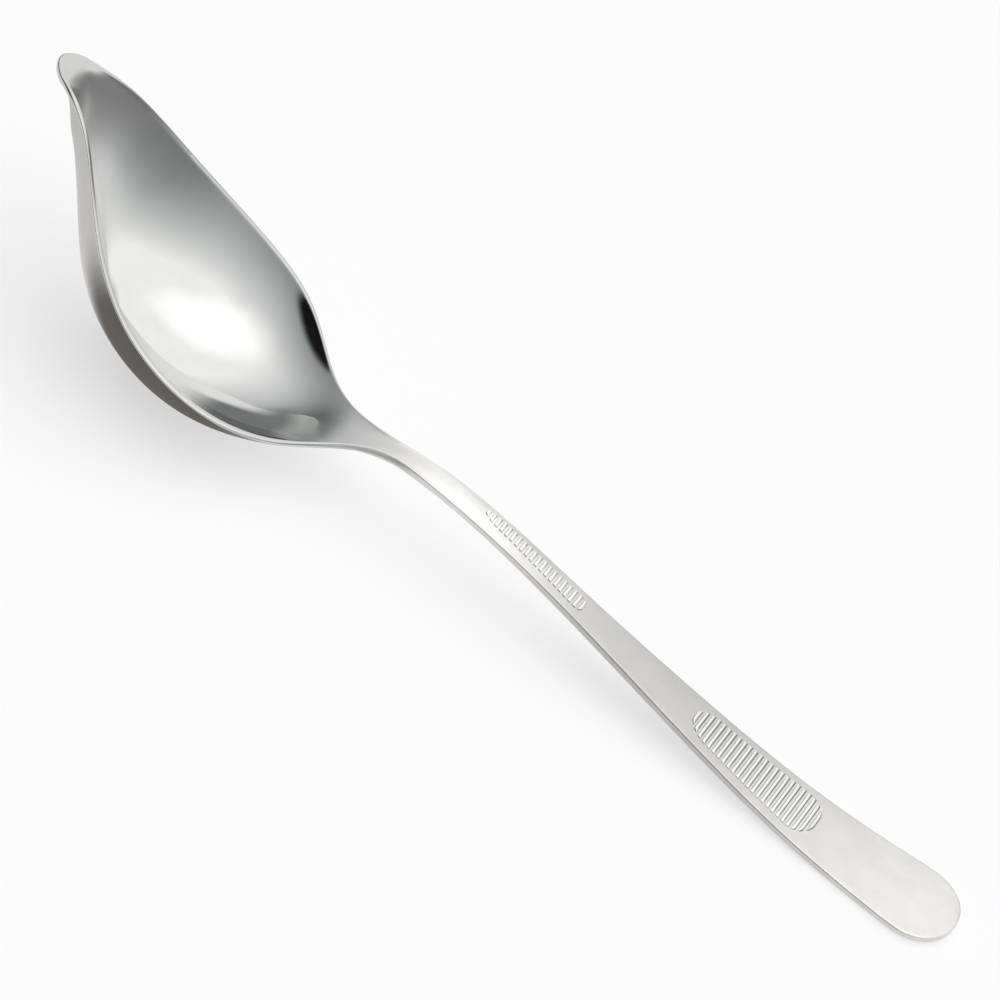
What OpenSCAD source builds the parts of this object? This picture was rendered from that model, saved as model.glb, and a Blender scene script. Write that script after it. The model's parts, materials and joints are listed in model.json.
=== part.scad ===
// Saucier spoon: a deep polished bowl drawn out into a raised pouring spout, on a flat satin handle.
// Millimetres. +X runs from the spout to the end of the handle, +Y is across, +Z is up.
// It lies on a table at z = 0, on the bottom of the bowl and the end of the handle.
// Widths, heights and depths are given at stations: eighths of the bowl, then quarters of the handle.

/* [Lengths] */
// Bowl with its root, from the lip of the spout to the top of the neck's arch
bowl_len = 96; // [88:1:104]
// Handle, from the top of the neck's arch to its end
handle_len = 126; // [120:1:136]
// Pouring spout, measured from its lip
spout_len = 18; // [14:1:22]
// From the lip to the back of the polished bowl, where the neck starts
neck_start = 84; // [80:1:86]
// Neck, from the bowl to the start of the flat handle
neck_len = 20; // [14:1:22]

/* [Widths across the bowl] */
// Lip of the spout
lip_w = 7; // [6:0.1:8]
// Throat of the spout, at the first eighth
throat_w = 18.3; // [16:0.1:21]
// Shoulder, where the spout opens into the bowl, at the second eighth
shoulder_w = 34.9; // [31:0.1:38]
// Flank, at the third eighth
flank_w = 46.9; // [43:0.1:50]
// Belly, the widest part, at the middle
belly_w = 50.4; // [46:0.1:55]
// Quarter, behind the belly, at the fifth eighth
quarter_w = 44.2; // [40:0.1:48]
// Heel, where the bowl closes in, at the sixth eighth
heel_w = 24.5; // [21:0.1:28]
// Root of the neck, at the seventh eighth
root_w = 8.1; // [7:0.1:11]

/* [Widths along the handle] */
// Narrowest part of the neck, at the top of its arch
arch_w = 6.1; // [5.2:0.1:7.4]
// First quarter of the handle, under the front grip
front_w = 7.5; // [6.8:0.1:8.8]
// Middle of the handle
middle_w = 11.5; // [10.4:0.1:13.2]
// Third quarter of the handle, under the rear grip
rear_w = 16.8; // [15:0.1:18.6]
// End of the handle, as if it were not rounded
end_w = 22.1; // [19:0.1:25]

/* [Heights of the rim above the table] */
// Lip of the spout
lip_h = 43.1; // [39:0.1:47]
// Throat
throat_h = 39.6; // [36:0.1:42]
// Shoulder
shoulder_h = 30.1; // [27:0.1:33]
// Flank
flank_h = 21.9; // [20:0.1:25]
// Belly
belly_h = 16.9; // [15.5:0.1:18.5]
// Quarter
quarter_h = 12.9; // [11.8:0.1:14.4]
// Heel, the lowest part of the rim
heel_h = 9.9; // [9:0.1:11.4]
// Root of the neck
root_h = 13.4; // [12:0.1:14.6]
// Top of the neck's arch
arch_h = 15.1; // [13.6:0.1:17]
// First quarter of the handle
front_h = 11.3; // [9.8:0.1:12.8]
// Middle of the handle
middle_h = 5.4; // [4.4:0.1:6.6]
// Third quarter of the handle
rear_h = 1.2; // [1:0.1:2.4]
// End of the handle, turned up slightly
end_h = 1.3; // [1:0.1:3]

/* [Depths below the rim] */
// Throat of the spout
throat_d = 10.4; // [9.4:0.1:11.8]
// Shoulder
shoulder_d = 20; // [18.5:0.1:21.5]
// Flank
flank_d = 19.5; // [18:0.1:20.6]
// Belly
belly_d = 16.3; // [15:0.1:17.2]
// Quarter
quarter_d = 10.6; // [9.4:0.1:11.6]
// Heel
heel_d = 3; // [2.4:0.1:4.2]
// Back of the hollow, half way from the heel to the root
hollow_d = 1; // [0.6:0.1:1.6]
// Root of the neck
root_d = 0.9; // [0.4:0.1:1.4]
// Flat part of the lip, in front of the channel of the spout
lip_flat = 3.5; // [2:0.5:4]
// Length over which the channel deepens behind the flat part
lip_flare = 6; // [4:0.5:8]
// Rise of the handle's upper face from its edges to its middle
crown = 0.1; // [0.05:0.05:0.2]
// Hollow of the handle's underside
handle_hollow = 0.2; // [0.15:0.05:0.35]

/* [Steel] */
// Thickness of the bowl and spout
bowl_t = 1.3; // [1:0.1:1.8]
// Thickness of the handle at its edges
handle_t = 1.7; // [1.3:0.1:2.2]
// Extra thickness along the middle of the neck
neck_core = 1; // [0.6:0.1:1.4]
// Fullness of the cross-section at the lip, where 2 is a parabola
lip_full = 2.2; // [2:0.1:2.6]
// Fullness of the cross-section at the belly
belly_full = 2.5; // [2.2:0.1:3]

/* [Rounded ends] */
// Length over which the lip of the spout is rounded
lip_round = 3.4; // [2.4:0.1:4.2]
// Length over which the end of the handle is rounded
end_round = 9.9; // [8:0.1:12]
// Straight piece left at the middle of each rounded end
end_flat = 0.8; // [0.6:0.1:1.2]

/* [Grip ribs] */
// Spacing of the ribs along the handle
rib_pitch = 1.24; // [1.1:0.02:1.3]
// Width of one rib at its base
rib_w = 0.92; // [0.8:0.02:1.08]
// Height of one rib
rib_h = 0.34; // [0.2:0.02:0.4]
// Gap under the ribs
rib_seat = 0.02; // [0.02:0.01:0.05]
// Ribs in the front grip
front_ribs = 20; // [14:1:22]
// From the end of the handle to the back of the front grip
front_setback = 88; // [84:1:92]
// Plain border between the front grip and the handle's edges
front_border = 2; // [1.6:0.1:2.4]
// Length over which the front of the front grip fades in
front_fade = 4; // [2:0.5:6]
// Length over which the back of the front grip is rounded
front_grip_round = 1.8; // [1.2:0.2:3]
// Ribs in the rear grip
rear_ribs = 24; // [18:1:28]
// From the end of the handle to the back of the rear grip
rear_setback = 31; // [28:1:36]
// Plain border between the rear grip and the handle's edges
rear_border = 2.2; // [1.9:0.1:3]
// Length over which the front of the rear grip is rounded
rear_nose_round = 4.6; // [3:0.2:6]
// Length over which the back of the rear grip is rounded
rear_tail_round = 5; // [3:0.2:7]

/* [Hidden] */
// Parts to draw
// Part shown; all draws the whole spoon
// Length of the whole spoon
overall_len = bowl_len + handle_len;
// Where the neck meets the handle, from the lip
neck_end = neck_start + neck_len;
// Stations along the bowl and along the handle
bowl_parts = 8;
handle_parts = 4;
bowl_at = [for (i = [0 : bowl_parts]) bowl_len * i / bowl_parts];
handle_at = [for (i = [1 : handle_parts]) bowl_len + handle_len * i / handle_parts];
stations = concat(bowl_at, handle_at);
// Fullness of the handle's cross-section
flat_full = 2;
// Share of the belly's fullness left at the heel and at the root
heel_full = 0.9;
root_full = 0.4;
// Share of the way from the bowl's thickness to the handle's, at the root and at the arch
root_blend = 0.5;
arch_blend = 0.8;
// Share of the neck's extra thickness at the quarter and at the heel, and left at the front of the handle
quarter_core = 0.1;
heel_core = 0.5;
front_core = 0.2;
// Share of the way from the heel to the root at which the bowl's hollow ends
hollow_share = 0.5;
// How square the corners of the edges are along the rim, at the heel and at the root, where 0 is round and 1 is
// as square as on the handle: upper corners, which lie inside the bowl, and lower corners, which lie outside
upper_square = [0.3, 0.4, 0.8];
lower_square = [0.7, 0.7, 0.9];
// Reach of a squared corner, in radii of the edge, where 1 is round
corner_reach = 1.27;
// Step over which the slope of the keel is taken
slope_step = 0.1;
// Largest share of the half width that the rounded edge may take near the two ends
edge_share = 0.6;
// Steps across the spoon, steps around each rounded edge, and steps along each piece
across = 16;
edge_steps = 8;
lip_steps = 6;
spout_steps = 8;
bowl_steps = 30;
neck_steps = 10;
handle_steps = 27;
end_steps = 8;
// Flatness of a rib's top, where 1 is round and 0 is flat
rib_flat = 0.6;
// Steps over one rib, and where along its half length its cross-sections lie
rib_steps = 6;
rib_along = [-1, -0.94, -0.75, -0.4, 0, 0.4, 0.75, 0.94, 1];
// Height of a rib at those places, as a share of its full height
rib_rise = [0.25, 0.75, 1, 1, 1, 1, 1, 0.75, 0.25];
// Shortest rib, and lowest rib where a grip fades in
rib_min_len = 1;
rib_min_rise = 0.4;

// Value between a and b, at share t of the way
function mix(a, b, t) = a + (b - a) * t;

// Pairs of station and value
function pairs(values) = [for (i = [0 : len(stations) - 1]) [stations[i], values[i]]];

// Forward pass for the bends of a smooth curve through points p
function sweep(p, i) =
    i == 0 ? [[0, 0]] :
    let (done = sweep(p, i - 1))
    let (last = done[i - 1])
    let (h0 = p[i].x - p[i - 1].x)
    let (h1 = p[i + 1].x - p[i].x)
    let (turn = 6 * ((p[i + 1].y - p[i].y) / h1 - (p[i].y - p[i - 1].y) / h0))
    let (pivot = 2 * (h0 + h1) - h0 * last[0])
    concat(done, [[h1 / pivot, (turn - h0 * last[1]) / pivot]]);

// Backward pass: the bend of the curve at each point
function bends(rows, i) =
    i == len(rows) ? [0] :
    let (after = bends(rows, i + 1))
    concat([rows[i][1] - rows[i][0] * after[0]], after);

// Smooth curve through points p, kept as its points and their bends
function curve(p) = [p, bends(sweep(p, len(p) - 2), 0)];

// Last point of curve c that is not past x
function span(p, x) = max([for (i = [0 : len(p) - 2]) if (i == 0 || x >= p[i].x) i]);

// Height of curve c at x
function at(c, x) =
    let (p = c[0])
    let (m = c[1])
    let (i = span(p, x))
    let (h = p[i + 1].x - p[i].x)
    let (a = (p[i + 1].x - x) / h)
    let (b = 1 - a)
    a * p[i].y + b * p[i + 1].y + ((a ^ 3 - a) * m[i] + (b ^ 3 - b) * m[i + 1]) * h * h / 6;

// Share of full size at distance x into an end that is rounded over a length
function rounding(x, length) =
    let (t = min(1, max(0, 1 - x / length)))
    sqrt(1 - t * t);

// Curves along the spoon, from the lip
bowl_widths = [lip_w, throat_w, shoulder_w, flank_w, belly_w, quarter_w, heel_w, root_w];
handle_widths = [arch_w, front_w, middle_w, rear_w, end_w];
width_line = curve(pairs(concat(bowl_widths, handle_widths)));
bowl_rim = [lip_h, throat_h, shoulder_h, flank_h, belly_h, quarter_h, heel_h, root_h];
handle_rim = [arch_h, front_h, middle_h, rear_h, end_h];
rim_line = curve(pairs(concat(bowl_rim, handle_rim)));
rise = (crown + handle_hollow) / 2;
heel_i = bowl_parts - 2;
hollow_x = mix(stations[heel_i], stations[heel_i + 1], hollow_share);
bowl_depths = [0, throat_d, shoulder_d, flank_d, belly_d, quarter_d, heel_d, root_d];
depth_pairs = pairs(concat(bowl_depths, [0, -rise, -rise, -rise, -rise]));
front_pairs = [for (i = [0 : heel_i]) depth_pairs[i]];
back_pairs = [for (i = [heel_i + 1 : len(depth_pairs) - 1]) depth_pairs[i]];
depth_line = curve(concat(front_pairs, [[hollow_x, hollow_d]], back_pairs));
bowl_edge = [for (i = [0 : bowl_parts - 2]) bowl_t];
neck_edge = [mix(bowl_t, handle_t, root_blend), mix(bowl_t, handle_t, arch_blend)];
handle_edge = [for (i = [1 : handle_parts]) handle_t];
edge_line = curve(pairs(concat(bowl_edge, neck_edge, handle_edge)));
bowl_cores = [for (i = [0 : bowl_parts / 2]) 0];
neck_cores = [neck_core * quarter_core, neck_core * heel_core, neck_core, neck_core];
handle_core = crown - handle_hollow;
handle_cores = [mix(handle_core, neck_core, front_core), handle_core, handle_core, handle_core];
core_line = curve(pairs(concat(bowl_cores, neck_cores, handle_cores)));
front_full = [for (i = [0 : bowl_parts / 2]) mix(lip_full, belly_full, 2 * i / bowl_parts)];
back_full = [belly_full, mix(flat_full, belly_full, heel_full), mix(flat_full, belly_full, root_full)];
handle_full = [for (i = [0 : handle_parts]) flat_full];
full_line = curve(pairs(concat(front_full, back_full, handle_full)));
handle_square = [for (i = [0 : handle_parts]) 1];
upper_rim = [for (i = [1 : heel_i]) upper_square[0]];
upper_line = curve(pairs(concat(upper_rim, upper_square[1], upper_square[2], handle_square)));
lower_rim = [for (i = [1 : heel_i]) lower_square[0]];
lower_line = curve(pairs(concat(lower_rim, lower_square[1], lower_square[2], handle_square)));

// Half width at x
function half_w(x) =
    let (ends = rounding(x, lip_round) * rounding(overall_len - x, end_round))
    max(end_flat / 2, at(width_line, x) / 2 * ends);

// Radius of the rounded edge at x
function edge_r(x) = min(at(edge_line, x) / 2, half_w(x) * edge_share);

// Share of the depth left at x where the spout flattens out to its lip
function flare(x) =
    let (t = min(1, max(0, (x - lip_flat) / lip_flare)))
    t * t * (3 - 2 * t);

// Depth of the middle below the rim at x
function depth(x) = at(depth_line, x) * flare(x);

// Height of the sheet's middle at x and share s of the half width
function sheet_z(x, s) = at(rim_line, x) - depth(x) * (1 - abs(s) ^ at(full_line, x));

// Slope of the sheet across the spoon
function sheet_slope(x, s) =
    let (n = at(full_line, x))
    depth(x) * n * abs(s) ^ (n - 1) * sign(s) / (half_w(x) - edge_r(x));

// Height of the keel, the line along the middle of the sheet
function keel(x) = at(rim_line, x) - depth(x);

// How much thicker an upright cut through the sheet is where the keel climbs
function climb(x) =
    let (rise = (keel(x + slope_step) - keel(x - slope_step)) / (2 * slope_step))
    sqrt(1 + rise * rise);

// Half of the thickness at x and share s
function half_t(x, s) =
    let (middle = edge_r(x) * (climb(x) - 1) + at(core_line, x) / 2)
    edge_r(x) + middle * (1 - s * s);

// Point on the upper (side = 1) or lower (side = -1) face
function face_point(x, s, side) =
    let (slope = sheet_slope(x, s))
    let (h = side * half_t(x, s) / sqrt(1 + slope * slope))
    [x, (half_w(x) - edge_r(x)) * s - slope * h, sheet_z(x, s) + h];

// How square the corner of the edge on the side of angle a is at x
function squareness(x, a) = min(1, max(0, at(a > 0 ? upper_line : lower_line, x)));

// Distance from the middle of the edge to its face in direction a, in radii of the edge
function edge_reach(x, a) =
    let (box = 1 / max(abs(cos(a)), abs(sin(a))))
    mix(1, min(box, corner_reach), squareness(x, a));

// Point on the edge at end s = 1 or -1, turned by angle a from the sheet towards its upper face
function edge_point(x, s, a) =
    let (slope = sheet_slope(x, s))
    let (k = edge_r(x) * edge_reach(x, a) / sqrt(1 + slope * slope))
    let (out = [s, s * slope])
    let (up = [-slope, 1])
    let (p = k * (cos(a) * out + sin(a) * up))
    [x, (half_w(x) - edge_r(x)) * s + p.x, sheet_z(x, s) + p.y];

// Shares across the spoon, closer together at its edges
shares = [for (i = [0 : across]) sin(180 * i / across - 90)];
edge_angles = [for (i = [1 : edge_steps - 1]) 90 - 180 * i / edge_steps];

// Cross-section at x: upper face, far edge, lower face, near edge
function section(x) = concat(
    [for (s = shares) face_point(x, s, 1)],
    [for (a = edge_angles) edge_point(x, 1, a)],
    [for (s = shares) face_point(x, -s, -1)],
    [for (a = edge_angles) edge_point(x, -1, -a)]
);

// Distances from the lip of the cross-sections of each piece
lip_x = [for (i = [0 : lip_steps - 1]) lip_round * (1 - cos(90 * i / lip_steps))];
spout_x = concat(lip_x, [for (i = [0 : spout_steps]) mix(lip_round, spout_len, i / spout_steps)]);
bowl_x = [for (i = [0 : bowl_steps]) mix(spout_len, neck_start, i / bowl_steps)];
neck_x = [for (i = [0 : neck_steps]) mix(neck_start, neck_end, i / neck_steps)];
flat_end = overall_len - end_round;
end_x = [for (i = [1 : end_steps]) flat_end + end_round * sin(90 * i / end_steps)];
handle_x = concat([for (i = [0 : handle_steps]) mix(neck_end, flat_end, i / handle_steps)], end_x);
all_x = concat(spout_x, bowl_x, neck_x, handle_x);

// Lowest point of the spoon before it is set down on the table
lowest = min([for (x = all_x) for (s = shares) face_point(x, s, -1).z]);
// Moves points measured from the lip into the frame of the part
function place(points) = [for (p = points) [p.x - overall_len / 2, p.y, p.z - lowest]];

// Points in one cross-section, and where the lower face and the near edge start in it
ring_len = 2 * (across + 1) + 2 * (edge_steps - 1);
lower_start = across + edge_steps;
near_start = lower_start + across + 1;

// Two triangles for a four-sided face
function quad(a, b, c, d) = [[a, b, c], [a, c, d]];

// Faces between two neighbouring cross-sections
function wall(k) = [
    for (i = [0 : ring_len - 1])
        let (j = (i + 1) % ring_len)
        each quad(k * ring_len + i, k * ring_len + j, (k + 1) * ring_len + j, (k + 1) * ring_len + i)
];

// Faces that close the last cross-section of a piece, whose points start at index o
function cover(o) = concat(
    [
        for (i = [0 : across - 1])
            each quad(o + i, o + i + 1, o + near_start - 2 - i, o + near_start - 1 - i)
    ],
    [for (i = [1 : edge_steps - 1]) [o + across, o + across + i, o + across + i + 1]],
    [
        for (i = [0 : edge_steps - 2])
            [o + near_start - 1, o + near_start + i, o + (near_start + i + 1) % ring_len]
    ]
);

// The same faces seen from the other side
function turned(faces) = [for (f = faces) [f[2], f[1], f[0]]];

// Solid through the cross-sections at distances xs
module loft(xs) {
    points = [for (x = xs) each section(x)];
    walls = [for (k = [0 : len(xs) - 2]) each wall(k)];
    ends = concat(turned(cover(0)), cover((len(xs) - 1) * ring_len));
    polyhedron(points = place(points), faces = concat(walls, ends), convexity = 6);
}

// Height of the handle's upper face at x and y
function top_z(x, y) = face_point(x, y / (half_w(x) - edge_r(x)), 1).z;

// Half length of a rib at x, inside the oval of its grip: front, back, border, nose and tail
function rib_reach(x, oval) =
    let (ends = rounding(x - oval[0], oval[3]) * rounding(oval[1] - x, oval[4]))
    max(rib_min_len / 2, (half_w(x) - oval[2]) * ends);

// One rib across the handle at x, inside the oval of its grip, with its height set by a share
module rib(x, oval, share) {
    n = rib_steps + 1;
    last = len(rib_along) - 1;
    points = [
        for (j = [0 : last])
            for (i = [0 : rib_steps])
                let (a = 180 * i / rib_steps)
                let (px = x - rib_w / 2 * cos(a))
                let (py = rib_reach(px, oval) * rib_along[j])
                [px, py, top_z(px, py) + rib_seat + rib_h * share * rib_rise[j] * sin(a) ^ rib_flat]
    ];
    walls = [
        for (j = [0 : last - 1])
            for (i = [0 : rib_steps])
                let (k = (i + 1) % n)
                each quad(j * n + i, (j + 1) * n + i, (j + 1) * n + k, j * n + k)
    ];
    near_end = [for (i = [1 : rib_steps - 1]) [0, i, i + 1]];
    far_end = [for (i = [1 : rib_steps - 1]) [last * n, last * n + i + 1, last * n + i]];
    polyhedron(points = place(points), faces = concat(walls, near_end, far_end), convexity = 2);
}

// Grip of count ribs that ends at distance back from the lip
module grip(back, count, border, nose, tail, fade) {
    front = back - count * rib_pitch;
    for (i = [0 : count - 1]) {
        x = front + (i + 0.5) * rib_pitch;
        rib(x, [front, back, border, nose, tail], mix(rib_min_rise, 1, min(1, (x - front) / fade)));
    }
}

// Raised spout, open along its top
module pouring_spout() {
    color([0.80, 0.81, 0.83])
    loft(spout_x);
}

// Deep bowl, from the spout to its heel
module bowl() {
    color([0.78, 0.79, 0.81])
    loft(bowl_x);
}

// Arched neck between the bowl and the handle
module neck() {
    color([0.80, 0.80, 0.80])
    loft(neck_x);
}

// Flat handle that widens to its rounded end
module handle() {
    color([0.83, 0.82, 0.80])
    loft(handle_x);
}

// Ribs near the neck
module front_grip_ribs() {
    color([0.86, 0.85, 0.84])
    grip(overall_len - front_setback, front_ribs, front_border, front_fade, front_grip_round, front_fade);
}

// Ribs near the end of the handle
module rear_grip_ribs() {
    color([0.86, 0.85, 0.84])
    grip(overall_len - rear_setback, rear_ribs, rear_border, rear_nose_round, rear_tail_round, rib_pitch);
}

pouring_spout();
bowl();
neck();
handle();
front_grip_ribs();
rear_grip_ribs();
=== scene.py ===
"""Looks of the saucier spoon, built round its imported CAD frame.

The real spoon is one stamped piece of steel, so its skin is smoothed as one
surface and only then cut where the CAD nodes meet. The cuts share the normals
of the whole skin, so no seam shows in the polish.
"""

from __future__ import annotations

import json
import logging
import math
from collections import Counter
from dataclasses import dataclass, field, replace
from enum import Enum

import bpy
from mathutils import Matrix, Quaternion, Vector

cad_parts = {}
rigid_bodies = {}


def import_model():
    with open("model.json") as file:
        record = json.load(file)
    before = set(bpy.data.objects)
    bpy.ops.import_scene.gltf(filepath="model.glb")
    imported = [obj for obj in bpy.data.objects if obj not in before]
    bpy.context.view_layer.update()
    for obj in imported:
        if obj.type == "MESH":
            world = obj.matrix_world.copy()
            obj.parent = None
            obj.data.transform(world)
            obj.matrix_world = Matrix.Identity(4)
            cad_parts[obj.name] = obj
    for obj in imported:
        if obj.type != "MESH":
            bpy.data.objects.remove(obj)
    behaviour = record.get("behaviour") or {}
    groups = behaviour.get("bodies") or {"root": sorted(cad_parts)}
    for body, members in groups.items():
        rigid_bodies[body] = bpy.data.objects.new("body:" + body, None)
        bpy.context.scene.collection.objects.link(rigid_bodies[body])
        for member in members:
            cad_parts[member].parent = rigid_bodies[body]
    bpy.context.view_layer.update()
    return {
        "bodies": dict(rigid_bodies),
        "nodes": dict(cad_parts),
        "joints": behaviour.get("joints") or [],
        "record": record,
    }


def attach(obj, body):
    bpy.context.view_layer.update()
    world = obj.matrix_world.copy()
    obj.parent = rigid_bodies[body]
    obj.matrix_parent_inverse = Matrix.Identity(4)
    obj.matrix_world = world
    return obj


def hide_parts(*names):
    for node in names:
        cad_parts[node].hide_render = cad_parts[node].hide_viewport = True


LOG = logging.getLogger("saucier_spoon")
MM = 0.001
RIM_MARK = "rim"

Triple = tuple[float, float, float]
Color = Triple
Span = tuple[float, float]
Feather = tuple[float, float, float, float]
Socket = bpy.types.NodeSocket

WHITE: Color = (1.0, 1.0, 1.0)
NOISE_SPAN: Span = (0.3, 0.7)
TINT_SPAN: Span = (0.35, 0.65)
CARD_HALF = 0.5


class Node(str, Enum):
    """Nodes of the CAD frame."""

    SPOUT = "pouring_spout"
    BOWL = "bowl"
    NECK = "neck"
    HANDLE = "handle"
    FRONT_RIBS = "front_grip_ribs"
    REAR_RIBS = "rear_grip_ribs"


class Slot(str, Enum):
    """Material slots of the record."""

    POLISHED = "polished_steel"
    SATIN = "satin_steel"


class Ease(str, Enum):
    """Blender's names for the ways to map a range."""

    LINEAR = "LINEAR"
    SMOOTH = "SMOOTHSTEP"


def clamp(value: float) -> float:
    """Keeps a share within 0 and 1.

    Args:
        value: The share.

    Returns:
        The nearest value from 0 to 1.
    """
    return min(max(value, 0.0), 1.0)


class NodeTree:
    """A shader node tree that is wired in a few words."""

    def __init__(self, owner: bpy.types.Material | bpy.types.World) -> None:
        """Empties the owner's tree.

        Args:
            owner: The material or world whose nodes are made here.
        """
        owner.use_nodes = True
        self.tree = owner.node_tree
        self.tree.nodes.clear()

    def add(self, kind: str, settings: dict | None = None, **inputs: object) -> bpy.types.Node:
        """Adds a node.

        Args:
            kind: The node's type without the leading "ShaderNode".
            settings: Properties of the node itself.
            **inputs: Sockets by name with underscores for blanks. A socket
                is linked, anything else is its value.

        Returns:
            The new node.
        """
        node = self.tree.nodes.new("ShaderNode" + kind)
        for key, value in (settings or {}).items():
            setattr(node, key, value)
        for key, value in inputs.items():
            self.plug(node.inputs[key.replace("_", " ")], value)
        return node

    def plug(self, socket: Socket, value: object) -> None:
        """Links a socket or sets its value.

        Args:
            socket: The input socket.
            value: An output socket, or a constant.
        """
        if isinstance(value, Socket):
            self.tree.links.new(value, socket)
        else:
            socket.default_value = value

    def noise(self, scale: Triple, detail: float, weight: float = 0.55) -> Socket:
        """Noise on object coordinates.

        Args:
            scale: Grains per metre along X, Y and Z.
            detail: Octaves of the noise.
            weight: Weight of the finer octaves.

        Returns:
            The noise value, about 0.5 on average.
        """
        place = self.add("TexCoord").outputs["Object"]
        stretch = self.add("Mapping", Vector=place, Scale=scale).outputs["Vector"]
        grain = self.add("TexNoise", Vector=stretch, Scale=1.0, Detail=detail, Roughness=weight)
        return grain.outputs["Fac"]

    def spread(self, value: Socket, lo: float, hi: float, span: Span = NOISE_SPAN,
               ease: Ease = Ease.LINEAR) -> Socket:
        """Maps a value onto a range.

        Args:
            value: The socket to map.
            lo: Result at the start of the span.
            hi: Result at the end of the span.
            span: Where the value starts and ends.
            ease: How it is mapped in between.

        Returns:
            The mapped socket.
        """
        node = self.add("MapRange", {"interpolation_type": ease.value, "clamp": True}, Value=value,
                        From_Min=span[0], From_Max=span[1], To_Min=lo, To_Max=hi)
        return node.outputs["Result"]

    def blend(self, share: Socket, start: object, end: object) -> Socket:
        """Blends two values.

        Args:
            share: 0 for the first value, 1 for the second.
            start: The first value, a socket or a number.
            end: The second value, a socket or a number.

        Returns:
            The blended value.
        """
        return self.add("MapRange", Value=share, To_Min=start, To_Max=end).outputs["Result"]

    def math(self, operation: str, *values: object) -> Socket:
        """Calculates with sockets and constants.

        Args:
            operation: Blender's name for the operation.
            *values: Its operands.

        Returns:
            The result.
        """
        node = self.add("Math", {"operation": operation})
        for socket, value in zip(node.inputs, values):
            self.plug(socket, value)
        return node.outputs["Value"]

    def vector(self, operation: str, *values: object) -> Socket:
        """Calculates with vectors.

        Args:
            operation: Blender's name for the operation.
            *values: Its operands.

        Returns:
            The result, a number for a dot product and a vector otherwise.
        """
        node = self.add("VectorMath", {"operation": operation})
        for socket, value in zip(node.inputs, values):
            self.plug(socket, value)
        return node.outputs["Value" if operation == "DOT_PRODUCT" else "Vector"]

    def split(self, vector: Socket) -> dict[str, Socket]:
        """Splits a vector by axis.

        Args:
            vector: The vector.

        Returns:
            The sockets X, Y and Z.
        """
        parts = self.add("SeparateXYZ", Vector=vector).outputs
        return {axis: parts[axis] for axis in "XYZ"}

    def place(self) -> dict[str, Socket]:
        """Object coordinates by axis.

        Returns:
            The sockets X, Y and Z.
        """
        return self.split(self.add("TexCoord").outputs["Object"])

    def tint(self, value: Socket, dark: Color, pale: Color) -> Socket:
        """Colours a value from dark to pale.

        Args:
            value: The socket that picks the colour, 0 to 1.
            dark: Colour at the start of TINT_SPAN.
            pale: Colour at its end.

        Returns:
            The colour socket.
        """
        ramp = self.add("ValToRGB", Fac=value)
        for stop, position, color in zip(ramp.color_ramp.elements, TINT_SPAN, (dark, pale)):
            stop.position, stop.color = position, (*color, 1.0)
        return ramp.outputs["Color"]


@dataclass(frozen=True)
class PolishedSteel:
    """Mirror polish with the haze and hairlines of a buffing wheel, and a brushed rim, lip and heel."""

    name: str = "mirror_polish"
    dark: Color = (0.645, 0.645, 0.64)
    pale: Color = (0.675, 0.673, 0.665)
    roughness: Span = (0.03, 0.07)
    haze_scale: float = 160.0
    haze_detail: float = 5.0
    hairline: Triple = (90.0, 2600.0, 2600.0)
    hairline_detail: float = 2.0
    hairline_depth: float = 0.0000006
    hairline_strength: float = 0.25
    rim_span: Span = (0.15, 0.75)
    rim_roughness: float = 0.34
    rim_shade: float = 0.24
    lip: Span = (-91.0 * MM, -101.0 * MM)
    lip_roughness: float = 0.265
    heel: Span = (-38.0 * MM, -30.0 * MM)
    heel_roughness: float = 0.5

    def material(self) -> bpy.types.Material:
        """Makes the shader.

        Returns:
            The material.
        """
        made = bpy.data.materials.new(self.name)
        t = NodeTree(made)
        along = t.place()["X"]
        haze = t.noise((self.haze_scale,) * 3, self.haze_detail)
        lines = t.noise(self.hairline, self.hairline_detail)
        heel = t.spread(along, 0.0, 1.0, self.heel, Ease.SMOOTH)
        lip = t.spread(along, 0.0, 1.0, self.lip, Ease.SMOOTH)
        mark = t.add("Attribute", {"attribute_name": RIM_MARK}).outputs["Fac"]
        rim = t.math("MULTIPLY", mark, t.math("SUBTRACT", 1.0, heel))
        # painted shade: the colour is darkened towards the rim, on top of its brushed roughness
        shade = t.spread(rim, 1.0, 1.0 - self.rim_shade, self.rim_span)
        color = t.vector("MULTIPLY", t.tint(haze, self.dark, self.pale), shade)
        brushed = t.spread(rim, 0.0, 1.0, self.rim_span, Ease.SMOOTH)
        rough = t.blend(brushed, t.spread(haze, *self.roughness), self.rim_roughness)
        rough = t.blend(lip, rough, self.lip_roughness)
        rough = t.blend(heel, rough, self.heel_roughness)
        bump = t.add("Bump", Strength=self.hairline_strength, Distance=self.hairline_depth, Height=lines)
        shader = t.add("BsdfPrincipled", Base_Color=color, Metallic=1.0, Roughness=rough,
                       Normal=bump.outputs["Normal"])
        t.add("OutputMaterial", Surface=shader.outputs["BSDF"])
        return made


@dataclass(frozen=True)
class Oval:
    """Outline of a ribbed grip on the handle, rounded at both ends and wider towards the back."""

    front: float
    back: float
    front_half: float
    back_half: float
    # painted light: factor that brightens the satin inside the outline, on the floors between the ribs
    tone: float
    power: float = 5.0
    edge: Span = (0.6, 1.0)

    def mask(self, t: NodeTree) -> Socket:
        """Marks the inside of the outline.

        Args:
            t: The tree that the mask is made in.

        Returns:
            1 inside, 0 outside.
        """
        place = t.place()
        ends = (self.front, self.back)
        along = t.math("ABSOLUTE", t.spread(place["X"], -1.0, 1.0, ends))
        half = t.spread(place["X"], self.front_half, self.back_half, ends)
        across = t.math("DIVIDE", t.math("ABSOLUTE", place["Y"]), half)
        powers = [t.math("POWER", share, self.power) for share in (along, across)]
        return t.spread(t.math("ADD", *powers), 1.0, 0.0, self.edge, Ease.SMOOTH)


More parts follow.
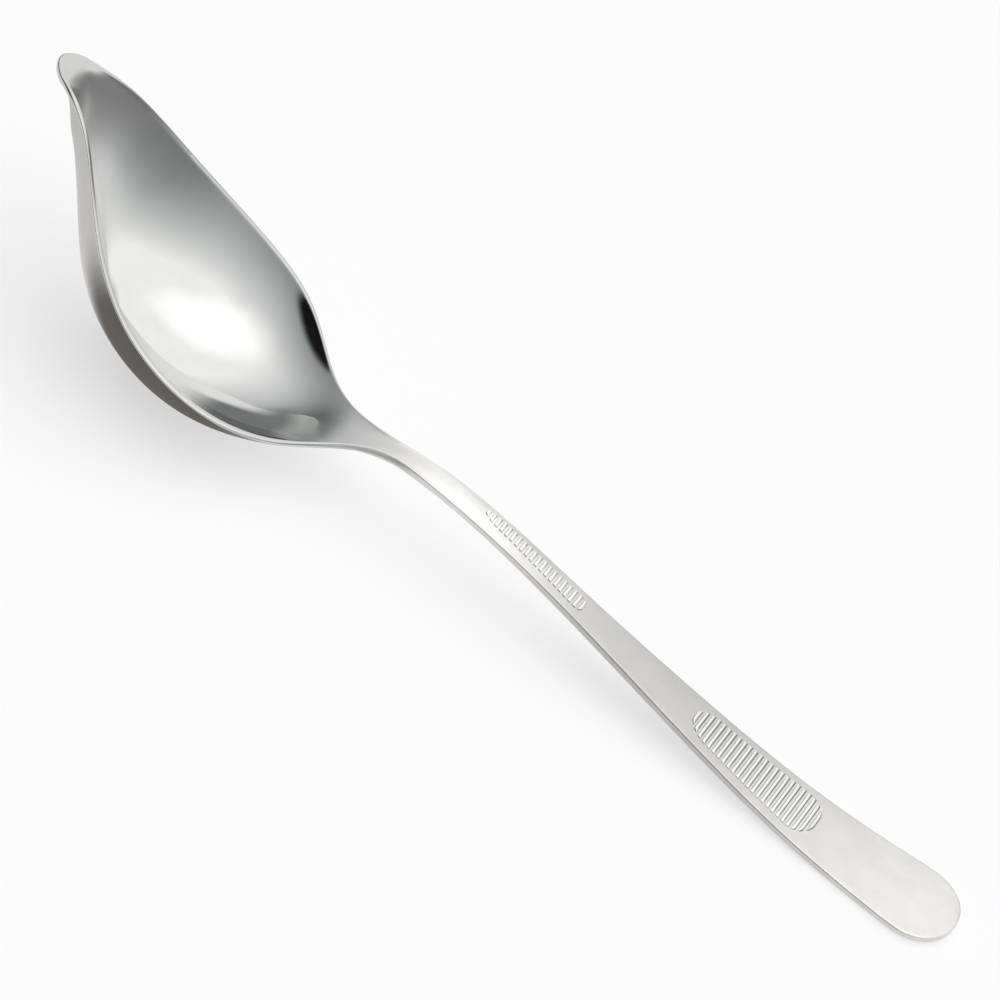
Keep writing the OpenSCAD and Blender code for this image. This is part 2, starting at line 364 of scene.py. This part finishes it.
@dataclass(frozen=True)
class SatinSteel:
    """Fine satin grain along the handle, with painted shade round its middle, painted light and shade at the
    neck, painted light on the floors of the grips and painted light and shade by which way a flank faces.
    """

    name: str = "satin_grain"
    dark: Color = (0.69, 0.678, 0.662)
    pale: Color = (0.73, 0.718, 0.702)
    roughness: Span = (0.33, 0.42)
    neck: Span = (-27.0 * MM, -8.0 * MM)
    neck_roughness: float = 0.12
    # painted light and shade: the colour is lowered before the neck and raised on it, and taken back along
    # neck_end
    neck_painted_light: Span = (0.94, 1.08)
    neck_end: Span = (4.0 * MM, 24.0 * MM)
    # painted shade: the colour is darkened round the middle of the handle
    painted_shade_middle: float = 44.0 * MM
    painted_shade_span: Span = (6.0 * MM, 64.0 * MM)
    painted_shade: float = 0.735
    grain: Triple = (160.0, 4200.0, 4200.0)
    grain_detail: float = 4.0
    grain_weight: float = 0.65
    grain_depth: float = 0.000006
    grain_strength: float = 0.35
    mottle_scale: float = 220.0
    mottle_detail: float = 5.0
    # grip outlines inside which the satin is brightened as painted light
    painted_groove_light: tuple[Oval, ...] = ()
    # painted light and shade by facing: factors for flanks facing -X, for tops and for flanks facing +X
    flank_painted_light: Triple = (1.0, 1.0, 1.0)
    bright_span: Span = (-0.3, 0.0)
    dark_span: Span = (0.18, 0.45)

    def painted_lights(self, t: NodeTree) -> list[Socket]:
        """Painted light and shade that the steel's colour is multiplied by.

        Args:
            t: The tree that they are made in.

        Returns:
            The painted shade of the middle, the painted light and shade of the neck, the painted light of the
            grip floors and the painted light and shade of the flanks.
        """
        along = t.place()["X"]
        # painted shade round the middle of the handle
        off = t.math("ABSOLUTE", t.math("SUBTRACT", along, self.painted_shade_middle))
        # painted light and shade at the neck
        start, full = self.neck_painted_light
        found = [t.spread(off, self.painted_shade, 1.0, self.painted_shade_span, Ease.SMOOTH),
                 t.spread(along, start, full, self.neck, Ease.SMOOTH),
                 t.spread(along, 1.0, 1.0 / full, self.neck_end, Ease.SMOOTH)]
        # painted light on the floors of the grips
        found += [t.spread(oval.mask(t), 1.0, oval.tone, (0.0, 1.0)) for oval in self.painted_groove_light]
        # painted light and shade on the flanks, by the X of their normal
        facing = t.split(t.add("NewGeometry").outputs["Normal"])["X"]
        bright, top, dark = self.flank_painted_light
        found.append(t.math("MULTIPLY", t.spread(facing, bright, top, self.bright_span),
                            t.spread(facing, 1.0, dark, self.dark_span)))
        return found

    def material(self) -> bpy.types.Material:
        """Makes the shader.

        Returns:
            The material.
        """
        made = bpy.data.materials.new(self.name)
        t = NodeTree(made)
        mottle = t.noise((self.mottle_scale,) * 3, self.mottle_detail)
        grain = t.noise(self.grain, self.grain_detail, self.grain_weight)
        color = t.tint(mottle, self.dark, self.pale)
        # the colour takes in all the painted light and shade
        for tone in self.painted_lights(t):
            color = t.vector("MULTIPLY", color, tone)
        neck = t.spread(t.place()["X"], self.neck_roughness, 0.0, self.neck, Ease.SMOOTH)
        rough = t.math("ADD", t.spread(grain, *self.roughness), neck)
        bump = t.add("Bump", Strength=self.grain_strength, Distance=self.grain_depth, Height=grain)
        shader = t.add("BsdfPrincipled", Base_Color=color, Metallic=1.0, Roughness=rough,
                       Normal=bump.outputs["Normal"])
        t.add("OutputMaterial", Surface=shader.outputs["BSDF"])
        return made


@dataclass(frozen=True)
class FloorPaper:
    """Pale matte paper. To the eye and in mirrors part of it is plain white, which keeps the shadow faint."""

    name: str = "floor_paper"
    color: Color = (0.9, 0.9, 0.9)
    white: float = 0.6

    def material(self) -> bpy.types.Material:
        """Makes the shader.

        Returns:
            The material.
        """
        made = bpy.data.materials.new(self.name)
        t = NodeTree(made)
        path = t.add("LightPath").outputs
        seen = t.math("MAXIMUM", path["Is Camera Ray"], path["Is Glossy Ray"])
        seen = t.math("MAXIMUM", seen, path["Is Transmission Ray"])
        mix = t.add("MixShader", Fac=t.math("MULTIPLY", seen, self.white))
        t.plug(mix.inputs[1], t.add("BsdfDiffuse", Color=(*self.color, 1.0)).outputs["BSDF"])
        glow = t.add("Emission", Color=(*WHITE, 1.0), Strength=1.0)
        t.plug(mix.inputs[2], glow.outputs["Emission"])
        t.add("OutputMaterial", Surface=mix.outputs["Shader"])
        return made


@dataclass(frozen=True)
class Tent:
    """Soft light tent with a lamp behind its top, brightest round its axis and grey on the far side."""

    tilt: float = 28.0
    azimuth: float = 60.0
    start: float = 0.05
    full: float = 0.65
    levels: Span = (0.2, 1.26)
    lamp_tilt: float = 6.0
    lamp_azimuth: float = 160.0
    lamp_edge: Span = (0.8, 0.99)
    lamp_gain: float = 0.32
    cool: Color = (0.93, 1.0, 0.975)
    cool_span: Span = (0.3, 1.1)

    @staticmethod
    def axis(tilt: float, azimuth: float) -> Triple:
        """Direction of a light.

        Args:
            tilt: Degrees from straight up.
            azimuth: Degrees from +Y towards +X.

        Returns:
            The unit vector.
        """
        t, a = math.radians(tilt), math.radians(azimuth)
        return math.sin(t) * math.sin(a), math.sin(t) * math.cos(a), math.cos(t)

    def light(self, t: NodeTree, toward: Socket) -> Socket:
        """Light that comes from a direction.

        Args:
            t: The tree that it is made in.
            toward: Unit vector towards the tent.

        Returns:
            The level.
        """
        rise = t.vector("DOT_PRODUCT", toward, self.axis(self.tilt, self.azimuth))
        soft = t.spread(rise, 0.0, self.levels[1], (self.start, self.full))
        lamp = t.vector("DOT_PRODUCT", toward, self.axis(self.lamp_tilt, self.lamp_azimuth))
        glow = t.spread(lamp, 0.0, self.lamp_gain, self.lamp_edge, Ease.SMOOTH)
        return t.math("ADD", t.math("MAXIMUM", soft, self.levels[0]), glow)

    def build(self) -> None:
        """Lights the scene with the tent."""
        world = bpy.data.worlds.new("tent")
        bpy.context.scene.world = world
        t = NodeTree(world)
        level = self.light(t, t.add("TexCoord").outputs["Generated"])
        hue = t.tint(t.spread(level, *TINT_SPAN, self.cool_span), self.cool, WHITE)
        sky = t.add("Background", Color=t.vector("MULTIPLY", hue, level))
        t.add("OutputWorld", Surface=sky.outputs["Background"])


@dataclass(frozen=True)
class SoftGlow:
    """Glow of a studio card that is feathered towards its four edges.

    A card with a tent for its level glows as that tent does from the eye.
    """

    name: str
    level: float | Tent
    feather: Feather
    color: Color = WHITE
    one_sided: bool = False
    eye: Triple = (-88.0 * MM, 13.0 * MM, 28.0 * MM)

    def mask(self, t: NodeTree) -> Socket:
        """Marks where the card glows.

        Args:
            t: The tree that the mask is made in.

        Returns:
            1 in the middle, 0 at the edges and on the back of a one-sided card.
        """
        place = t.place()
        found: object = 1.0
        for axis, end, width in zip("XXYY", (-CARD_HALF, CARD_HALF) * 2, self.feather):
            inner = end - math.copysign(width, end)
            rise = t.spread(place[axis], 0.0, 1.0, (end, inner), Ease.SMOOTH)
            found = t.math("MULTIPLY", found, rise)
        if self.one_sided:
            front = t.math("SUBTRACT", 1.0, t.add("NewGeometry").outputs["Backfacing"])
            found = t.math("MULTIPLY", found, front)
        return found

    def material(self) -> bpy.types.Material:
        """Makes the shader.

        Returns:
            The material.
        """
        made = bpy.data.materials.new(self.name)
        t = NodeTree(made)
        level: object = self.level
        if isinstance(level, Tent):
            seen = t.vector("SUBTRACT", t.add("NewGeometry").outputs["Position"], self.eye)
            level = level.light(t, t.vector("NORMALIZE", seen))
        mix = t.add("MixShader", Fac=self.mask(t))
        t.plug(mix.inputs[1], t.add("BsdfTransparent").outputs["BSDF"])
        glow = t.add("Emission", Color=(*self.color, 1.0), Strength=level)
        t.plug(mix.inputs[2], glow.outputs["Emission"])
        t.add("OutputMaterial", Surface=mix.outputs["Shader"])
        return made


class Bench:
    """Hand work on meshes: picking objects, entering edit mode, cleaning copies."""

    @staticmethod
    def pick(*objects: bpy.types.Object) -> None:
        """Selects these objects alone and makes the first one active.

        Args:
            *objects: The objects.
        """
        bpy.ops.object.select_all(action="DESELECT")
        for one in objects:
            one.select_set(True)
        bpy.context.view_layer.objects.active = objects[0]

    @staticmethod
    def copy(source: bpy.types.Object, name: str) -> bpy.types.Object:
        """Copies an object with a mesh of its own.

        Args:
            source: The object to copy.
            name: Name of the copy.

        Returns:
            The copy, free of parents and of the frame's marks.
        """
        made = bpy.data.objects.new(name, source.data.copy())
        made.data.name = name
        bpy.context.scene.collection.objects.link(made)
        return made

    @staticmethod
    def plane(name: str, size: float, material: bpy.types.Material) -> bpy.types.Object:
        """Adds a plane.

        Args:
            name: Its name.
            size: Its side.
            material: Its material.

        Returns:
            The plane at the origin.
        """
        bpy.ops.object.select_all(action="DESELECT")
        bpy.ops.mesh.primitive_plane_add(size=size)
        made = bpy.context.active_object
        made.name = name
        made.data.materials.append(material)
        return made

    @staticmethod
    def cut_faces(piece: bpy.types.Object, picked: list[bool]) -> None:
        """Deletes faces, and the edges and points that only they used.

        Args:
            piece: The mesh object.
            picked: One flag for each face.
        """
        Bench.pick(piece)
        bpy.ops.object.mode_set(mode="EDIT")
        bpy.ops.mesh.select_mode(type="FACE")
        bpy.ops.mesh.select_all(action="DESELECT")
        bpy.ops.object.mode_set(mode="OBJECT")
        piece.data.polygons.foreach_set("select", picked)
        bpy.ops.object.mode_set(mode="EDIT")
        bpy.ops.mesh.delete(type="FACE")
        bpy.ops.object.mode_set(mode="OBJECT")

    @staticmethod
    def pick_edges(piece: bpy.types.Object, picked: list[bool]) -> None:
        """Enters edit mode with these edges selected.

        Args:
            piece: The mesh object.
            picked: One flag for each edge.
        """
        Bench.pick(piece)
        bpy.ops.object.mode_set(mode="EDIT")
        bpy.ops.mesh.select_mode(type="EDGE")
        bpy.ops.mesh.select_all(action="DESELECT")
        bpy.ops.object.mode_set(mode="OBJECT")
        piece.data.edges.foreach_set("select", picked)
        bpy.ops.object.mode_set(mode="EDIT")

    @staticmethod
    def merge(piece: bpy.types.Object, gap: float) -> None:
        """Merges points that lie on one another.

        Args:
            piece: The mesh object.
            gap: Distance below which points are one.
        """
        Bench.pick(piece)
        bpy.ops.object.mode_set(mode="EDIT")
        bpy.ops.mesh.select_all(action="SELECT")
        bpy.ops.mesh.remove_doubles(threshold=gap)
        bpy.ops.object.mode_set(mode="OBJECT")

    @staticmethod
    def to_quads(piece: bpy.types.Object) -> None:
        """Pairs triangles into quads.

        Args:
            piece: The mesh object.
        """
        Bench.pick(piece)
        bpy.ops.object.mode_set(mode="EDIT")
        bpy.ops.mesh.select_all(action="SELECT")
        bpy.ops.mesh.tris_convert_to_quads(face_threshold=math.pi, shape_threshold=math.pi,
                                           topology_influence=2.0)
        bpy.ops.object.mode_set(mode="OBJECT")

    @staticmethod
    def smooth(piece: bpy.types.Object, levels: int) -> None:
        """Turns the faces outward, subdivides them, applies the modifier and shades the mesh smooth.

        Args:
            piece: The closed mesh object.
            levels: Levels of subdivision.
        """
        Bench.pick(piece)
        bpy.ops.object.mode_set(mode="EDIT")
        bpy.ops.mesh.select_all(action="SELECT")
        bpy.ops.mesh.normals_make_consistent(inside=False)
        bpy.ops.object.mode_set(mode="OBJECT")
        mod = piece.modifiers.new("round", "SUBSURF")
        mod.levels = mod.render_levels = levels
        bpy.ops.object.modifier_apply(modifier=mod.name)
        bpy.ops.object.shade_smooth()

    @staticmethod
    def dress(piece: bpy.types.Object, material: bpy.types.Material, slot: Slot, *nodes: Node) -> None:
        """Gives a piece its finish and its place in the frame.

        Args:
            piece: The finished piece.
            material: Its material.
            slot: The record's slot; not used.
            *nodes: The CAD nodes that it stands for.
        """
        piece.data.materials.clear()
        piece.data.materials.append(material)
        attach(piece, "root")
        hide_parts(*[n.value for n in nodes])
        LOG.info("%s: %d faces", piece.name, len(piece.data.polygons))


@dataclass(frozen=True)
class Crown:
    """Slight crown across the top of the handle, which starts behind the neck."""

    rise: float = 4.2
    start: Span = (5.0 * MM, 30.0 * MM)

    def drop(self, x: float, y: float) -> float:
        """How far the top lies below its middle line.

        Args:
            x: Place along the spoon.
            y: Place across it.

        Returns:
            The drop in metres.
        """
        share = clamp((x - self.start[0]) / (self.start[1] - self.start[0]))
        return self.rise * y * y * share * share * (3.0 - 2.0 * share)


@dataclass
class SpoonBody:
    """The stamped blank: spout, bowl, neck and handle with one unbroken skin."""

    cuts: Triple = (-93.0 * MM, -27.0 * MM, -7.0 * MM)
    gap: float = 0.002 * MM
    ring_gap: float = 0.02 * MM
    reach: float = 2.0 * MM
    levels: int = 2
    normal_name: str = "skin_normal"
    end_facing: float = 0.9999
    rim_depth: Span = (0.85 * MM, 0.3 * MM)
    rim_taper: Span = (-82.0 * MM, -64.0 * MM)
    rim_band: float = 0.01 * MM
    crown: Crown = Crown()
    edge_steps: tuple[int, int] = (10, 14)
    nodes: tuple[Node, ...] = (Node.SPOUT, Node.BOWL, Node.NECK, Node.HANDLE)
    polished: tuple[Node, ...] = (Node.SPOUT, Node.BOWL)

    def skin(self, frame: dict) -> bpy.types.Object:
        """Joins the four nodes, takes the walls between them out and smooths the whole.

        Args:
            frame: The loaded frame.

        Returns:
            One closed skin with its normals kept on its points.
        """
        parts = [Bench.copy(frame["nodes"][n.value], "skin_" + n.value) for n in self.nodes]
        Bench.pick(*parts)
        bpy.ops.object.join()
        skin = parts[0]
        Bench.merge(skin, self.gap)
        points = skin.data.vertices
        walls = []
        for face in skin.data.polygons:
            xs = [points[i].co.x for i in face.vertices]
            walls.append(any(max(abs(x - cut) for x in xs) < self.ring_gap for cut in self.cuts))
        Bench.cut_faces(skin, walls)
        self.to_grid(skin)
        Bench.smooth(skin, self.levels)
        kept = skin.data.attributes.new(self.normal_name, "FLOAT_VECTOR", "POINT")
        for point, spot in zip(skin.data.vertices, kept.data):
            spot.vector = point.normal
        self.mark_rim(skin)
        return skin

    def rings(self, mesh: bpy.types.Mesh) -> tuple[dict[int, int], dict[int, list[int]]]:
        """Sorts the points into the rings that cross the spoon.

        Args:
            mesh: The whole skin in triangles.

        Returns:
            Each point's ring, and its neighbours in that ring.
        """
        spots = [point.co for point in mesh.vertices]
        ring: dict[int, int] = {}
        number, last = -1, -math.inf
        for i in sorted(range(len(spots)), key=lambda j: spots[j].x):
            if spots[i].x - last > self.ring_gap:
                number += 1
            ring[i], last = number, spots[i].x
        beside: dict[int, list[int]] = {}
        for face in mesh.polygons:
            if len({ring[i] for i in face.vertices}) > 1:
                for a, b in face.edge_keys:
                    if ring[a] == ring[b] and b not in beside.setdefault(a, []):
                        beside[a].append(b)
                        beside.setdefault(b, []).append(a)
        return ring, beside

    def steps(self, mesh: bpy.types.Mesh, ring: dict[int, int],
              beside: dict[int, list[int]]) -> dict[int, tuple[int, int]]:
        """Counts how far round its ring each point lies from the middle of the top.

        Args:
            mesh: The whole skin in triangles.
            ring: Each point's ring.
            beside: Each point's neighbours in its ring.

        Returns:
            Each point's steps one way round and the other way round.
        """
        spots = [point.co for point in mesh.vertices]
        found: dict[int, tuple[int, int]] = {}
        for number in range(max(ring.values()) + 1):
            middle = [i for i in beside if ring[i] == number and abs(spots[i].y) < self.gap]
            start = max(middle, key=lambda i: spots[i].z)
            order = [start]
            here, before = max(beside[start], key=lambda i: spots[i].y), start
            while here != start:
                order.append(here)
                here, before = next(i for i in beside[here] if i != before), here
            found.update((i, (count, len(order) - count)) for count, i in enumerate(order))
        return found

    def to_grid(self, skin: bpy.types.Object) -> None:
        """Crowns the top and takes the diagonals between the rings out, so that a grid of quads is left.

        Args:
            skin: The whole skin in triangles.
        """
        mesh = skin.data
        ring, beside = self.rings(mesh)
        step = self.steps(mesh, ring, beside)
        crowned, plain = self.edge_steps
        for i, ways in step.items():
            spot = mesh.vertices[i].co
            share = clamp((plain - min(ways)) / (plain - crowned))
            spot.z -= self.crown.drop(spot.x, spot.y) * share
        pairs = [tuple(edge.vertices) for edge in mesh.edges]
        Bench.pick_edges(skin, [ring[a] != ring[b] and step[a][0] != step[b][0] for a, b in pairs])
        bpy.ops.mesh.dissolve_edges(use_verts=False)
        bpy.ops.object.mode_set(mode="OBJECT")

    def mark_rim(self, skin: bpy.types.Object) -> None:
        """Marks how near each point is to the rim, the highest line of its cross-section.

        Args:
            skin: The whole skin.
        """
        tops: dict[int, float] = {}
        bands = [round(point.co.x / self.rim_band) for point in skin.data.vertices]
        for middle, point in zip(bands, skin.data.vertices):
            for band in (middle - 1, middle, middle + 1):
                tops[band] = max(tops.get(band, 0.0), point.co.z)
        rim = skin.data.attributes.new(RIM_MARK, "FLOAT", "POINT")
        front, back = self.rim_taper
        for band, point, spot in zip(bands, skin.data.vertices, rim.data):
            share = clamp((point.co.x - front) / (back - front))
            depth = self.rim_depth[0] + (self.rim_depth[1] - self.rim_depth[0]) * share
            spot.value = max(0.0, 1.0 - (tops[band] - point.co.z) / depth)

    def piece(self, skin: bpy.types.Object, index: int) -> bpy.types.Object:
        """Takes one node's length out of the skin and closes its ends.

        Args:
            skin: The whole skin.
            index: Which node's length.

        Returns:
            A closed piece that shades like the whole skin.
        """
        start, end = (-math.inf, *self.cuts, math.inf)[index:index + 2]
        made = Bench.copy(skin, self.nodes[index].value + "_steel")
        Bench.cut_faces(made, [not start < face.center.x < end for face in made.data.polygons])
        for cut in self.cuts[max(index - 1, 0):index + 1]:
            self.close(made, cut)
        self.share_normals(made)
        return made

    def close(self, made: bpy.types.Object, cut: float) -> None:
        """Fills the open ring that a cut has left.

        Args:
            made: The piece.
            cut: Where the cut is.
        """
        mesh = made.data
        sides = Counter(key for face in mesh.polygons for key in face.edge_keys)
        near = [abs(mesh.vertices[edge.vertices[0]].co.x - cut) < self.reach for edge in mesh.edges]
        Bench.pick_edges(made, [one and sides[edge.key] == 1 for one, edge in zip(near, mesh.edges)])
        bpy.ops.mesh.fill()
        bpy.ops.object.mode_set(mode="OBJECT")

    def share_normals(self, made: bpy.types.Object) -> None:
        """Shades a piece with the normals of the whole skin, and its cut ends flat.

        Args:
            made: The piece.
        """
        mesh = made.data
        kept = [Vector(spot.vector) for spot in mesh.attributes[self.normal_name].data]
        corners: list[Vector] = [Vector()] * len(mesh.loops)
        for face in mesh.polygons:
            end = abs(face.normal.x) > self.end_facing and len(face.vertices) == 3
            for loop in face.loop_indices:
                corners[loop] = face.normal.copy() if end else kept[mesh.loops[loop].vertex_index]
        mesh.attributes.remove(mesh.attributes[self.normal_name])
        mesh.normals_split_custom_set(corners)

    def build(self, frame: dict, polish: bpy.types.Material, satin: bpy.types.Material) -> None:
        """Builds and dresses the four pieces.

        Args:
            frame: The loaded frame.
            polish: Finish of the bowl and its spout.
            satin: Finish of the neck and handle.
        """
        skin = self.skin(frame)
        for index, node in enumerate(self.nodes):
            finish, slot = (polish, Slot.POLISHED) if node in self.polished else (satin, Slot.SATIN)
            Bench.dress(self.piece(skin, index), finish, slot, node)
        bpy.data.objects.remove(skin)


@dataclass
class GripRibs:
    """One ribbed grip: coined ribs that swell out of the handle."""

    node: Node
    gap: float = 0.002 * MM
    levels: int = 2
    crown: Crown = Crown()

    def build(self, frame: dict, satin: bpy.types.Material) -> None:
        """Builds and dresses the ribs.

        Args:
            frame: The loaded frame.
            satin: Their finish.
        """
        made = Bench.copy(frame["nodes"][self.node.value], self.node.value + "_steel")
        Bench.merge(made, self.gap)
        Bench.to_quads(made)
        for point in made.data.vertices:
            point.co.z -= self.crown.drop(point.co.x, point.co.y)
        Bench.smooth(made, self.levels)
        Bench.dress(made, satin, Slot.SATIN, self.node)


@dataclass
class PhotoCamera:
    """The photo's camera: a long lens above the near side, rolled so that the spoon runs corner to corner."""

    lens: float = 198.93
    sensor: float = 36.0
    distance: float = 1.0009
    target: Vector = field(default_factory=lambda: Vector((-0.69, 0.0, 19.83)) * MM)
    azimuth: float = 6.65
    elevation: float = 37.5
    roll: float = 31.736

    def build(self) -> None:
        """Makes the scene's camera."""
        a, e = math.radians(self.azimuth), math.radians(self.elevation)
        back = Vector((math.sin(a) * math.cos(e), -math.cos(a) * math.cos(e), math.sin(e)))
        made = bpy.data.objects.new("photo_camera", bpy.data.cameras.new("photo_camera"))
        made.data.lens, made.data.sensor_width = self.lens, self.sensor
        made.location = self.target + back * self.distance
        made.rotation_mode = "QUATERNION"
        turn = Quaternion((0.0, 0.0, 1.0), math.radians(self.roll))
        made.rotation_quaternion = (-back).to_track_quat("-Z", "Y") @ turn
        bpy.context.scene.collection.objects.link(made)
        bpy.context.scene.camera = made


@dataclass
class Card:
    """A studio card that only the polish mirrors, from a lower edge to an upper one.

    An edge is its distance from the origin towards the azimuth, and its height.
    The feather is a share of the width at either side, then of the length at
    the lower and upper edge. A one-sided card glows only on the face that looks
    away from its azimuth.
    """

    name: str
    azimuth: float
    width: float
    low: Span
    high: Span
    level: float | Tent
    feather: Feather
    shift: float = 0.0
    color: Color = WHITE
    one_sided: bool = False

    def build(self) -> None:
        """Sets the card up."""
        a = math.radians(self.azimuth)
        out = Vector((math.sin(a), math.cos(a), 0.0))
        side = Vector((math.cos(a), -math.sin(a), 0.0))
        low, high = (out * edge[0] + side * self.shift + Vector((0.0, 0.0, edge[1]))
                     for edge in (self.low, self.high))
        rise = high - low
        glow = SoftGlow(self.name, self.level, self.feather, self.color, self.one_sided)
        made = Bench.plane(self.name, 1.0, glow.material())
        axes = Matrix((side * self.width, rise, side.cross(rise).normalized())).transposed()
        made.matrix_world = Matrix.Translation((low + high) / 2) @ axes.to_4x4()
        made.visible_camera = made.visible_diffuse = made.visible_shadow = False


@dataclass
class Studio:
    """Pale floor under a light tent, with cards that only the polish sees."""

    floor_size: float = 6.0
    floor_drop: float = 0.05 * MM
    tent: Tent = Tent()
    cards: tuple[Card, ...] = (
        Card("dark_card", azimuth=-126.0, width=1.018, low=(0.8, 0.4), high=(0.7, 0.652),
             level=0.01, feather=(0.25, 0.05, 0.1, 0.22), shift=-0.034),
        Card("back_card", azimuth=36.0, width=0.66, low=(1.0, 0.0), high=(0.92, 0.6),
             level=0.4, feather=(0.38, 0.62, 0.01, 0.35), shift=-0.17),
        Card("lip_card", azimuth=90.0, width=0.047, low=(-0.085, 0.022), high=(-0.085, 0.062),
             level=0.25, feather=(0.13, 0.15, 0.5, 0.3), shift=-0.0085, one_sided=True),
        Card("white_card", azimuth=-14.0, width=0.66, low=(1.1, 0.0), high=(1.0, 0.7),
             level=1.25, feather=(0.25, 0.25, 0.01, 0.3)),
        Card("front_card", azimuth=175.0, width=3.1, low=(0.03, 0.0004), high=(3.05, 0.0004),
             level=Tent(), feather=(0.001, 0.012, 0.005, 0.001), shift=-1.55, color=(0.94, 1.0, 0.98)),
        Card("heel_card", azimuth=18.43, width=0.021, low=(-0.00474, 0.0025), high=(-0.00474, 0.0117),
             level=0.25, feather=(0.3, 0.25, 0.01, 0.11), shift=-0.05814, color=(0.94, 1.0, 0.98),
             one_sided=True),
        Card("far_card", azimuth=0.0, width=0.062, low=(-0.012, 0.0002), high=(0.06, 0.0002),
             level=0.7, feather=(0.3, 0.1, 0.1, 0.4), shift=-0.119, color=(1.0, 0.975, 0.955)),
        Card("shade_card", azimuth=180.0, width=0.085, low=(-0.002, 0.0003), high=(0.046, 0.0003),
             level=0.16, feather=(0.3, 0.3, 0.25, 0.3), shift=0.069, color=(1.0, 0.93, 0.88)),
    )

    def build(self) -> None:
        """Makes the floor, the tent and the cards."""
        floor = Bench.plane("floor", self.floor_size, FloorPaper().material())
        floor.location.z = -self.floor_drop
        for card in self.cards:
            card.build()
        self.tent.build()


def main() -> None:
    """Builds the spoon and its studio in order."""
    logging.basicConfig(level=logging.INFO, format="%(name)s %(message)s")
    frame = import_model()
    # grip outlines, each with the factor of the painted light on its floor
    grips = (Oval(front=-1.8 * MM, back=23.0 * MM, front_half=1.4 * MM, back_half=2.0 * MM, tone=1.15),
             Oval(front=50.24 * MM, back=80.0 * MM, front_half=3.75 * MM, back_half=6.3 * MM, tone=1.14))
    satin = SatinSteel(painted_groove_light=grips)
    # the ribs take neither the painted shade of the middle nor the painted light and shade of the neck
    coined = SatinSteel(dark=(0.71, 0.704, 0.692), pale=(0.75, 0.743, 0.73), roughness=(0.2, 0.27),
                        neck_painted_light=(1.0, 1.0), painted_shade=1.0)
    # painted light and shade of the rib flanks: brightened towards -X, darkened towards +X
    flank_painted_lights = {Node.FRONT_RIBS: (1.08, 1.08, 0.75), Node.REAR_RIBS: (1.1, 1.02, 0.3)}
    SpoonBody().build(frame, PolishedSteel().material(), satin.material())
    for node, flank_painted_light in flank_painted_lights.items():
        finish = replace(coined, name=node.value, flank_painted_light=flank_painted_light)
        GripRibs(node).build(frame, finish.material())
    Studio().build()
    PhotoCamera().build()
    bpy.context.scene.view_settings.view_transform = "Standard"


if __name__ == "__main__":
    main()
